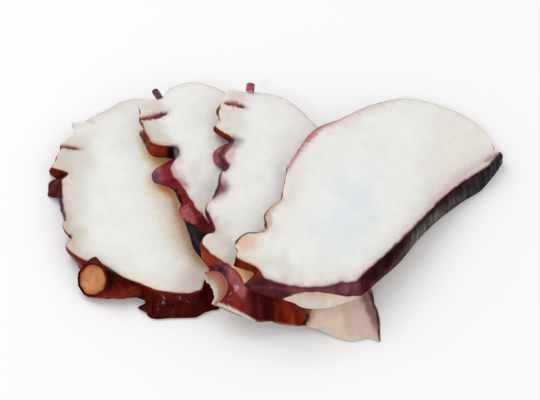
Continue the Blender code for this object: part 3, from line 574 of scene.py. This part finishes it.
def outward(curve, passes):
    """Outward directions of an anticlockwise outline, smoothed along it."""
    tangent = np.roll(curve, -1, axis=0) - np.roll(curve, 1, axis=0)
    normal = np.stack([tangent[:, 1], -tangent[:, 0]], axis=1)
    for _ in range(passes):
        normal = (np.roll(normal, 1, axis=0) + 2 * normal + np.roll(normal, -1, axis=0)) / 4
    return normal / np.linalg.norm(normal, axis=1, keepdims=True)


def batches(points):
    """The points in batches small enough to compare with a whole outline."""
    return np.array_split(points, len(points) // 2000 + 1)


def nearest(points, outline):
    """Index of the nearest outline sample for each point, and its distance."""
    index = []
    distance = []
    for part in batches(points):
        gaps = np.hypot(part[:, :1] - outline[:, 0], part[:, 1:2] - outline[:, 1])
        index.append(gaps.argmin(axis=1))
        distance.append(gaps.min(axis=1))
    return np.concatenate(index), np.concatenate(distance)


def inside(points, outline):
    """True for the points inside a closed outline."""
    x1, y1 = outline.T
    x2, y2 = np.roll(outline, -1, axis=0).T
    result = []
    for part in batches(points):
        px = part[:, :1]
        py = part[:, 1:2]
        crossing = ((y1 > py) != (y2 > py)) & (px < (x2 - x1) * (py - y1) / (y2 - y1 + 1e-12) + x1)
        result.append(crossing.sum(axis=1) % 2 == 1)
    return np.concatenate(result)


def well_inside(points, outline, gap):
    """The points inside an outline and further than a gap from it."""
    points = points[inside(points, outline)]
    return points[nearest(points, outline)[1] > gap]


def to_path(points, path):
    """Distance from each point to a path, and where along the path, from 0 to 1."""
    best = np.full(len(points), 1e9)
    where = np.zeros(len(points))
    for k, (start, run) in enumerate(zip(path[:-1], np.diff(path, axis=0))):
        share = np.clip(((points - start) @ run) / (run @ run), 0, 1)
        gap = np.linalg.norm(points - start - share[:, None] * run, axis=1)
        where = np.where(gap < best, (k + share) / (len(path) - 1), where)
        best = np.minimum(best, gap)
    return best, where


def apply_marks(marks, surface, places, colour, skin):
    """Draw the marks that lie on one kind of surface; gives colour, skin and lift."""
    seen = np.column_stack([places[:, 0], places @ UP])
    lift = np.zeros(len(places))
    for seed, (on, path, half, tint, strength, soft, rise, peeled) in enumerate(marks, MARK_SEED):
        if on != surface:
            continue
        gap, where = to_path(seen, path)
        if half:
            taper = 1 - STROKE_TAPER * np.abs(2 * where - 1) ** 2
            gap = gap - half * taper * (1 + 0.25 * field(seen, 1.3, seed))
        else:
            gap = np.where(inside(seen, path), -gap, gap)
            gap = gap + (0.02 + 0.3 * soft) * field(seen, 1.6 + 2 * soft, seed)
        share = 1 / (1 + np.exp(np.clip(gap / (0.5 * soft), -40, 40)))
        colour = mix(colour, tint, share * strength)
        if peeled:
            skin = skin * (1 - share)
        lift = lift + rise * share
    return colour, skin, lift


def beside(marks):
    """Places near every mark that lifts or sinks the flesh, where the mesh has to be fine."""
    near = [np.zeros((0, 2))]
    for on, path, *_, rise, _ in marks:
        if on != "flesh" or rise == 0:
            continue
        for start, run in zip(path[:-1], np.diff(path, axis=0)):
            length = np.linalg.norm(run)
            aside = np.array([-run[1], run[0]]) / length
            steps = np.linspace(0, 1, max(2, int(length / 0.2)))[:, None]
            for offset in (-0.5, -0.32, -0.16, 0, 0.16, 0.32, 0.5):
                near.append(start + run * steps + aside * offset)
    return np.concatenate(near)


def on_face(name, seen):
    """From the plane that faces the camera back to (x, y) on a slice's upper face."""
    x, up = seen.T
    y = up
    for _ in range(30):
        height = underside(name, x, y) + THICKNESS
        y = (up - height * math.cos(SEEN_FROM)) / math.sin(SEEN_FROM)
    return np.column_stack([x, y])


def fill(outline, step, insets, extra):
    """Triangulate an outline: a staggered grid, finer rows near its edge, and extra points."""
    low = outline.min(axis=0)
    high = outline.max(axis=0)
    grid = []
    for k, y in enumerate(np.arange(low[1], high[1], step * math.sqrt(3) / 2)):
        across = np.arange(low[0] + (k % 2) * step / 2, high[0], step)
        grid.append(np.column_stack([across, np.full(len(across), y)]))
    normal = outward(outline, 2)
    rows = []
    for k, inset in enumerate(insets):
        row = (outline - normal * inset)[k % 2::1 + (k > 0)]
        rows.append(well_inside(row, outline, inset * 0.85))
    rows.append(well_inside(np.concatenate(grid), outline, insets[-1] + step * 0.45))
    inner = np.concatenate(rows)
    if len(extra):
        extra = well_inside(extra, outline, 0.1)
        inner = inner[nearest(inner, extra)[1] > 0.13]
    points = [Vector(p) for p in np.concatenate([outline, inner, extra]).tolist()]
    border = list(range(len(outline)))
    verts, _, faces, origin, _, _ = delaunay_2d_cdt(points, [], [border], 1, 1e-5)
    return np.array([tuple(v) for v in verts]), np.array(faces), np.array([ids[0] for ids in origin])


def make_piece(name, verts, faces, tint, skin, material):
    mesh = bpy.data.meshes.new(name)
    mesh.from_pydata(((verts - (*CENTRE, 0.0)) * MM).tolist(), [], faces)
    colour = mesh.attributes.new("tint", "FLOAT_COLOR", "POINT")
    colour.data.foreach_set("color", np.column_stack([tint, np.ones(len(tint))]).ravel())
    mesh.attributes.new("skin", "FLOAT", "POINT").data.foreach_set("value", skin)
    mesh.shade_smooth()
    mesh.materials.append(material)
    piece = bpy.data.objects.new(name, mesh)
    bpy.context.scene.collection.objects.link(piece)
    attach(piece, "root")
    return piece


# ---- materials
def octopus_material():
    """Moist flesh and glossy skin in one shader, told apart by the skin attribute."""
    material = bpy.data.materials.new("octopus")
    material.use_nodes = True
    nodes = material.node_tree.nodes
    join = material.node_tree.links.new
    shader = nodes["Principled BSDF"].inputs
    place = nodes.new("ShaderNodeTexCoord").outputs["Object"]

    def attribute(name, output):
        node = nodes.new("ShaderNodeAttribute")
        node.attribute_name = name
        return node.outputs[output]

    def noise(scale, detail, roughness):
        node = nodes.new("ShaderNodeTexNoise")
        for slot, value in (("Scale", scale), ("Detail", detail), ("Roughness", roughness)):
            node.inputs[slot].default_value = value
        join(place, node.inputs["Vector"])
        return node.outputs["Fac"]

    def ranged(source, low, high, target):
        """Feed an input with a value of 0 to 1, stretched to run from low to high."""
        node = nodes.new("ShaderNodeMapRange")
        node.inputs["To Min"].default_value = low
        node.inputs["To Max"].default_value = high
        join(source, node.inputs["Value"])
        join(node.outputs["Result"], target)

    colour = nodes.new("ShaderNodeVectorMath")
    colour.operation = "SCALE"
    join(attribute("tint", "Color"), colour.inputs[0])
    ranged(noise(330.0, 4.0, 0.6), 0.93, 1.06, colour.inputs["Scale"])
    join(colour.outputs["Vector"], shader["Base Color"])

    skin = attribute("skin", "Fac")
    ranged(skin, 0.42, 0.24, shader["Roughness"])
    ranged(skin, 0.55, 0.04, shader["Subsurface Weight"])
    for slot, value in (("Subsurface Radius", (1.0, 0.75, 0.55)), ("Subsurface Scale", 1.2 * MM),
                        ("IOR", 1.4), ("Specular IOR Level", 0.015), ("Coat Weight", 0.035),
                        ("Coat Roughness", 0.07)):
        shader[slot].default_value = value

    height = nodes.new("ShaderNodeMath")
    height.operation = "ADD"
    join(noise(1400.0, 3.0, 0.55), height.inputs[0])
    join(noise(420.0, 3.0, 0.5), height.inputs[1])
    bump = nodes.new("ShaderNodeBump")
    bump.inputs["Distance"].default_value = 0.12 * MM
    ranged(skin, 0.25, 0.7, bump.inputs["Strength"])
    join(height.outputs["Value"], bump.inputs["Height"])
    join(bump.outputs["Normal"], shader["Normal"])
    return material


# ---- slices
def upper_face(seed, marks, places, floor, index, distance, look):
    """Height, colour and skin of the upper cut face: domed, and stained towards its rim."""
    flat = np.column_stack([places, np.zeros(len(places))])
    near = look[index]
    height = floor + THICKNESS - ROUNDING * np.exp(-distance / 0.13)
    height += DOME * (1 - np.exp(-distance / 2.5))
    for swell, reach in zip(FACE_SWELLS, SWELL_REACHES):
        height += rough(flat, [swell], seed) * (1 - np.exp(-distance / reach))
    colour = plain("flesh", len(places)) * (1 + 0.015 * field(flat, 12.0, seed + 8))[:, None]
    colour = mix(colour, "cream", np.exp(-distance / 3.5) * 0.35)
    reach = np.maximum(near[:, 1] * (1 + 0.35 * field(flat, 2.4, seed + 9)), 0.05)
    colour = mix(colour, near[:, STAIN_TINT], near[:, 2] * np.exp(-(distance / reach) ** 1.3))
    on_plane = np.column_stack([places, floor + THICKNESS])
    colour, _, lift = apply_marks(marks, "flesh", on_plane, colour, 0.0)
    width = near[:, 0] * (1 + 0.5 * field(flat, 1.7, seed + 10))
    dark = (near[:, 0] > 0.01) / (1 + np.exp((distance - width) / 0.06))
    return height + lift, mix(colour, near[:, LINE_TINT], dark * 0.9), dark * 0.8


def lower_face(floor, index, distance, look):
    """Height, colour and skin of the lower cut face, which is plain."""
    colour = plain("cream", len(floor))
    colour = mix(colour, look[index, STAIN_TINT], 0.6 * np.exp(-distance / 1.5))
    return floor + ROUNDING * np.exp(-distance / 0.3), colour, np.zeros(len(floor))


def skin_rows(name, seed, top, shift, along, look, marks):
    """The wall of skin, row by row from the upper edge down: places, colours and skin."""
    ones = np.ones(len(top))
    ribs = look[:, RIBS]
    normal = outward(top, 30)
    tangent = np.column_stack([-normal[:, 1], normal[:, 0]])
    for depth in np.linspace(0.0, 1.0, WALL_ROWS) ** 1.1:
        ring = top + shift * depth
        belly = math.sin(math.pi * depth)
        around = np.column_stack([ring, ones * depth * 3.0])
        slanted = np.column_stack([along + 1.2 * depth, ones * 0.6 * depth])
        rib = field(slanted, RIB_SPACING, seed + 3) * ribs
        lumps = rough(around, SKIN_LUMPS, seed)
        swell = (lumps + RIB_HEIGHT * rib) * belly ** 0.6 + BULGE * belly
        ring = ring + normal * swell[:, None]
        height = underside(name, *ring.T) + ROUNDING + (THICKNESS - 2 * ROUNDING) * (1 - depth)
        places = np.column_stack([ring, height])
        streak = rough(around, SKIN_STREAKS, seed) + 0.45 * rib * ribs + 0.12 * rib
        colour, cover, lift = apply_marks(marks, "skin", places, look[:, SKIN_TINT], ones)
        colour = colour * np.clip(1 + streak * (0.25 + 0.75 * cover), 0.4, 2.2)[:, None]
        colour = mix(colour, look[:, LINE_TINT], 0.7 * math.exp(-(depth / 0.05) ** 2))
        places[:, :2] += normal * (lift * min(1.0, 4 * belly))[:, None]
        places[:, :2] += tangent * (0.08 * rib * belly)[:, None]
        yield places, colour, cover if depth > 0.02 else ones * 0.7


def slice_piece(name, material):
    """One slice: its two cut faces and the skin between them, with its marks drawn."""
    seed = int(name[-1]) * 100
    marks = MARKS[name]
    top, shift, along, look = traced_outline(OUTLINES[name])
    count = len(top)
    rows = skin_rows(name, seed, top, shift, along, look, marks)
    verts, tint, skin = (np.concatenate(column) for column in zip(*rows))
    last = (WALL_ROWS - 1) * count
    pairs = [(i, (i + 1) % count) for i in range(count)]
    faces = [(row + i, row + count + i, row + count + j, row + j)
             for row in range(0, last, count) for i, j in pairs]
    fine = on_face(name, beside(marks))
    for ring, first, step, insets, extra in (
            (top, 0, FACE_STEP, (0.12, 0.28, 0.5), fine),
            (top + shift, last, UNDER_STEP, (0.3,), fine[:0])):
        places, triangles, source = fill(ring, step, insets, extra)
        index, distance = nearest(places, ring)
        floor = underside(name, *places.T)
        if first == 0:
            height, colour, cover = upper_face(seed, marks, places, floor, index, distance, look)
        else:
            height, colour, cover = lower_face(floor, index, distance, look)
            triangles = triangles[:, ::-1]
        new = source >= count
        number = np.where(new, len(verts) + np.cumsum(new) - 1, first + source)
        faces += number[triangles].tolist()
        verts = np.vstack([verts, np.column_stack([places, height])[new]])
        tint = np.vstack([tint, colour[new]])
        skin = np.append(skin, cover[new])
    piece = make_piece(name + "_cut", verts, faces, tint, skin, material)
    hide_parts(name)


# ---- stalk, flap, fold and knobs
STALK_MARKS = marks_on("skin", [
    line([(-45.6, -17.4), (-43, -19.6), (-38, -19.3), (-34, -18.8), (-30, -18)], 2.6, "umber", 1, 0.9),
    line([(-44, -19.6), (-39, -19.9), (-34, -19.4)], 0.9, "brick", 0.5, 0.5),
    # Painted shadow: the black gap at the disc's right rim.
    line([(-37.3, -12), (-37, -14.6), (-37.2, -17.4)], 1.6, "ink", 0.9, 0.5),
])
STALK_MARKS += marks_on("flesh", [
    line([(-44.6, -15.6), (-44.2, -13.4), (-42.8, -12), (-41, -12)], 1.5, "umber", 0.6, 0.8),
    # Painted highlights: two light streaks on the tan disc.
    line([(-43.6, -16.2), (-42.8, -17)], 0.8, "cream", 0.45, 0.5),
    line([(-41, -14.2), (-41.6, -15.6)], 0.5, "cream", 0.3, 0.4),
])
STALK_MARKS += marks_on("skin", [
    patch([(-44, -12.2), (-41.5, -9.4), (-38, -12.6), (-39.6, -13.2), (-42, -12.4)], "plum", 0.85, 0.35),
])
STALK_BODY = [   # (across, up, towards the camera, radius, turn towards the disc from 0 to 1)
    (-29.4, -18.5, 17.6, 0.9, 0.0), (-31, -18.2, 17.6, 1.5, 0.0), (-33, -17.8, 17.7, 2.1, 0.05),
    (-35.4, -17.1, 17.8, 2.8, 0.15), (-37.4, -16.5, 17.9, 3.4, 0.3), (-39, -16, 18, 3.85, 0.55),
    (-40.2, -15.8, 18.1, 4.05, 0.8), (-41, -15.7, 18.2, 4.1, 1.0), (-41.5, -15.6, 18.5, 4.1, 1.0),
]
DISC_FACE = [   # (radius as a share of the lip, rise along the disc's normal, tint, skin, peak)
    (1.02, 0.05, "maroon", 1.0, 1.0), (0.985, 0.22, "umber", 1.0, 1.0),
    (0.945, 0.22, "maroon", 1.0, 0.85), (0.935, 0.0, "maroon", 1.0, 0.4),
    (0.92, -0.25, "maroon", 1.0, 0.1), (0.9, -0.24, "umber", 0.8, 0.0), (0.87, -0.1, "tan", 0.45, 0.0),
]
DISC_MIDDLE = [(0.74, 0.0), (0.6, 0.06), (0.45, 0.1), (0.3, 0.12), (0.15, 0.13), (0.04, 0.13)]
DISC_FACE += [(share, rise, "tan", 0.35, 0.0) for share, rise in DISC_MIDDLE]
DISC_LEAN = math.radians(24)     # how far the disc faces left of the camera
LIP_RADIUS = 3.95
PEAK_ANGLE = math.radians(80)    # where the skin round the disc rises to a point
PEAK_WIDTH = math.radians(44)
PEAK_HEIGHT = 1.55
FLAP_ROOT = [(-15, -13.3, 25.0), (-12.8, -12.9, 26.6), (-10.8, -13.5, 27.2), (-9.4, -16.2, 27.5),
             (-10.2, -18.6, 27.3), (-12.3, -20.9, 27.2)]
FLAP_EDGE = [(-15.2, -13.7, 25.6), (-14.7, -15.4, 26.8), (-13.3, -16.4, 27.8), (-13, -17.6, 28.1),
             (-12.5, -18.8, 28), (-13.3, -20.5, 27.7)]
TIP_ROOT = (-27.4, -29.5, 1.1)   # the fold of skin at the foot of slice 1
TIP_END = (-30.9, -28.9, 0.3)
TIP_RADIUS = 1.9
KNOBS = {   # base and tip as (across, up, towards the camera), half width, and tint
    "knob_2": ((-28.3, 29.6, -9.9), (-29.4, 31.2, -9.6), 0.85, "dusk"),
    "knob_3": ((-5.0, 31.2, -8.9), (-4.8, 32.8, -8.7), 1.05, "mauve"),
}


def placed(seen):
    """From (across, up, towards the camera) to (x, y, z)."""
    return np.asarray(seen, dtype=float) @ np.array([ACROSS, UP, FORWARD])


def smooth_path(path, count):
    """A path with its corners cut three times, resampled evenly."""
    path = np.array(path, dtype=float)
    for _ in range(3):
        near = path[:-1] * 0.75 + path[1:] * 0.25
        far = path[:-1] * 0.25 + path[1:] * 0.75
        cut = np.stack([near, far], 1).reshape(-1, path.shape[1])
        path = np.concatenate([path[:1], cut, path[-1:]])
    along = np.concatenate([[0.0], np.cumsum(np.linalg.norm(np.diff(path, axis=0), axis=1))])
    steps = np.linspace(0, along[-1], count)
    return np.stack([np.interp(steps, along, column) for column in path.T], axis=1)


def circle(around):
    """Angles of evenly spaced points round a circle."""
    return np.linspace(0, 2 * math.pi, around, endpoint=False)


def hoop(centre, radius, side, up, around):
    """Points round a centre; the radius is one number or a row of them."""
    angle = circle(around)[:, None]
    return centre + np.reshape(radius, (-1, 1)) * (np.cos(angle) * side + np.sin(angle) * up)


def loft(name, sections, material):
    """Closed mesh through rings of (places, colours, skin), with a fan at each end."""
    many = len(sections)
    around = len(sections[0][0])
    columns = []
    for rings in zip(*sections):
        middles = [[ring.mean(axis=0)] for ring in (rings[0], rings[-1])]
        columns.append(np.concatenate([*rings, *middles]))
    last = (many - 1) * around
    pairs = [(i, (i + 1) % around) for i in range(around)]
    faces = [(row + i, row + j, row + around + j, row + around + i)
             for row in range(0, last, around) for i, j in pairs]
    for i, j in pairs:
        faces += [(many * around, j, i), (many * around + 1, last + i, last + j)]
    verts, tint, skin = columns
    make_piece(name, verts, faces, tint, skin, material)


def sucker_stalk(material):
    """The cut stub at the front left of slice 1: a sleeve of skin round a tan disc."""
    around = 120
    ones = np.ones(around)
    sections = []
    for *where, radius, turn in smooth_path(STALK_BODY, 44):
        lean = math.pi / 2 + (DISC_LEAN - math.pi / 2) * turn
        side = math.cos(lean) * ACROSS + math.sin(lean) * FORWARD
        centre = placed(where)
        ring = hoop(centre, radius, side, UP, around)
        ring = centre + (ring - centre) * (1 + rough(ring, STALK_LUMPS) / radius)[:, None]
        ring[:, 2] = np.maximum(ring[:, 2], 0.06)
        colour, _, _ = apply_marks(STALK_MARKS, "skin", ring, plain("oxblood", around), ones)
        colour = colour * np.clip(1 + 0.2 * field(ring, 1.6, 907), 0.5, 1.6)[:, None]
        sections.append((ring, colour, ones))
    facing = math.cos(DISC_LEAN) * FORWARD - math.sin(DISC_LEAN) * ACROSS
    angle = circle(around)
    apart = np.abs((angle - PEAK_ANGLE + math.pi) % (2 * math.pi) - math.pi)
    peak = np.clip(1 - apart / PEAK_WIDTH, 0, 1)
    lip = LIP_RADIUS + 0.08 * field(np.column_stack([np.cos(angle), np.sin(angle)]) * 4, 2.5, 903)
    centre = centre - 0.12 * side + 0.12 * UP
    for share, rise, hue, cover, point in DISC_FACE:
        ring = hoop(centre, lip * share + PEAK_HEIGHT * peak * point, side, UP, around)
        ring = ring + (rise + 0.05 * field(ring, 1.6, 904) * (share < 0.86))[:, None] * facing
        colour = plain(hue, around)
        if hue == "tan":
            colour = colour * (1 + rough(ring, DISC_MOTTLE))[:, None]
            colour = mix(colour, "rust", 0.45 * max(0.0, share - 0.7) / 0.17)
            colour, _, _ = apply_marks(STALK_MARKS, "flesh", ring, colour, ones)
        elif point > 0:
            colour = mix(colour, "plum", 0.8 * peak)
        sections.append((ring, colour, ones * cover))
    loft("sucker_stalk", sections, material)


def curled_flap(material):
    """The strip of skin that curls off slice 3's front left, with a white torn edge."""
    along = 90
    across = 22
    root = smooth_path(FLAP_ROOT, along)
    edge = smooth_path(FLAP_EDGE, along)
    step = np.linspace(0, 1, along)
    ends = np.sin(math.pi * step) ** 0.5
    teeth = 0.09 * np.sin(step * 2 * math.pi * 4.5) + 0.05 * np.sin(step * 2 * math.pi * 10 + 1)
    out = (edge - root) * (1, 1, 0)
    out /= np.maximum(np.linalg.norm(out, axis=1, keepdims=True), 0.2)
    edge = edge + out * (teeth * ends)[:, None]
    share = np.linspace(0, 1, across)
    white = np.clip((share - 0.62) / 0.12, 0, 1)
    sections = []
    for k, open_here in enumerate(ends):
        front = root[k] + (edge[k] - root[k]) * share[:, None]
        front[:, 2] += 0.75 * open_here * np.sin(math.pi * share ** 0.8)
        back = front.copy()
        back[:, 2] -= 0.16 + 0.6 * open_here * (0.4 + 0.6 * share)
        section = placed(np.concatenate([front, back[::-1]]))
        section = section + 0.04 * field(section, 1.4, 911)[:, None] * FORWARD
        lower = np.clip((step[k] - 0.2) / 0.7, 0, 1)
        colour = plain("fawn", across)
        for hue, strength in (
                ("honey", lower * 0.4),
                ("cream", share ** 2 * 0.35),
                ("brick", (1 - share) ** 1.6 * 0.75 * (1 - lower * 0.5)),
                ("oat", white * (0.2 + 0.7 * min(1, 2 * lower))),
                ("flesh", np.clip((share - 0.93) / 0.05, 0, 1) * 0.8),
                # painted highlight: a light line along the flap's root on its lower part
                ("cream", np.clip((0.06 - share) / 0.04, 0, 1) * open_here * lower)):
            colour = mix(colour, hue, strength)
        colour = np.concatenate([colour, mix(colour[::-1], "cream", 0.8)])
        sections.append((section, colour, np.concatenate([0.7 * (1 - white), 0 * white])))
    loft("curled_flap", sections, material)


def skin_tip(material):
    """The pointed fold of skin that sticks out to the left at the foot of slice 1."""
    around = 32
    start = np.array(TIP_ROOT)
    side = np.array([0, 1.0, 0])
    sections = []
    for step in np.linspace(0, 1, 16):
        radius = TIP_RADIUS * (1 - step) ** 0.85 + 0.06
        ring = hoop(start + (TIP_END - start) * step, radius, side, np.array([0, 0, 0.9]), around)
        ring = ring + 0.06 * field(ring, 1.5, 931)[:, None] * side
        ring[:, 2] = np.maximum(ring[:, 2], 0.05)
        sections.append((ring, plain("oxblood", around), np.ones(around)))
    loft("skin_tip", sections, material)


def knob(name, material):
    """A small squarish stub of skin on a back rim."""
    base, tip, half, hue = KNOBS[name]
    around = 40
    base = placed(base)
    axis = placed(tip) - base
    side = np.cross(axis / np.linalg.norm(axis), FORWARD)
    side /= np.linalg.norm(side)
    depth = np.cross(side, axis / np.linalg.norm(axis))
    angle = circle(around)
    square = (np.abs(np.cos(angle)) ** 3.5 + np.abs(np.sin(angle)) ** 3.5) ** (-1 / 3.5)
    sections = []
    for step in np.linspace(-0.4, 1.0, 14):
        size = half * math.sqrt(max(0.0, 1 - max(0.0, (step - 0.6) / 0.42) ** 3))
        ring = hoop(base + axis * step, size * square, side, depth, around)
        ring = ring + 0.07 * field(ring, 1.2, 921)[:, None] * FORWARD
        colour = plain(hue, around) * (1.2 + 0.3 * field(ring, 0.9, 922))[:, None]
        colour = mix(colour, "maroon", 0.6 * max(0.0, step - 0.6) / 0.4)
        sections.append((ring, np.clip(colour, 0, 1), np.ones(around)))
    loft(name, sections, material)


# ---- stage, light, camera
LIGHTS = {   # place in metres, size and power
    "key": ((-0.25, 0.25, 0.55), 0.5, 1.5),
    "fill": ((0.35, -0.35, 0.4), 0.5, 0.5),
    "glint": ((-0.12, -0.42, 0.42), 0.03, 0.3),
}
SKY_STRENGTH = 0.69


def add_object(name, data, place):
    made = bpy.data.objects.new(name, data)
    made.location = place
    bpy.context.scene.collection.objects.link(made)
    return made


def stage():
    bpy.ops.mesh.primitive_plane_add(size=4.0, location=(0, 0, cad_low.z - 0.0002))
    floor = bpy.context.object
    floor.name = "floor"
    material = bpy.data.materials.new("pale_floor")
    material.use_nodes = True
    shader = material.node_tree.nodes["Principled BSDF"].inputs
    shader["Base Color"].default_value = (0.9, 0.9, 0.9, 1)
    shader["Roughness"].default_value = 0.7
    floor.data.materials.append(material)
    world = bpy.data.worlds.new("studio")
    bpy.context.scene.world = world
    world.use_nodes = True
    sky = world.node_tree.nodes["Background"].inputs
    sky["Color"].default_value = (1, 1, 1, 1)
    sky["Strength"].default_value = SKY_STRENGTH
    for name, (place, size, power) in LIGHTS.items():
        light = bpy.data.lights.new(name, "AREA")
        light.shape = "DISK"
        light.size = size
        light.energy = power
        lamp = add_object(name, light, place)
        lamp.rotation_euler = (-Vector(place)).to_track_quat("-Z", "Y").to_euler()


def camera():
    """Looks along +Y from 50 degrees above the table, as the serving is seen."""
    target = np.array([-CENTRE[0], -CENTRE[1], TARGET_HEIGHT])
    data = bpy.data.cameras.new("camera")
    data.lens = CAMERA_LENS
    data.sensor_width = 36.0
    data.clip_start = 0.01
    made = add_object("camera", data, (target + FORWARD * CAMERA_DISTANCE) * MM)
    made.rotation_euler = (math.pi / 2 - SEEN_FROM, 0, 0)
    bpy.context.scene.camera = made


def main():
    finish = octopus_material()
    for name in OUTLINES:
        slice_piece(name, finish)
    sucker_stalk(finish)
    curled_flap(finish)
    skin_tip(finish)
    for name in KNOBS:
        knob(name, finish)
    stage()
    camera()
    bpy.context.scene.view_settings.view_transform = "Standard"


main()
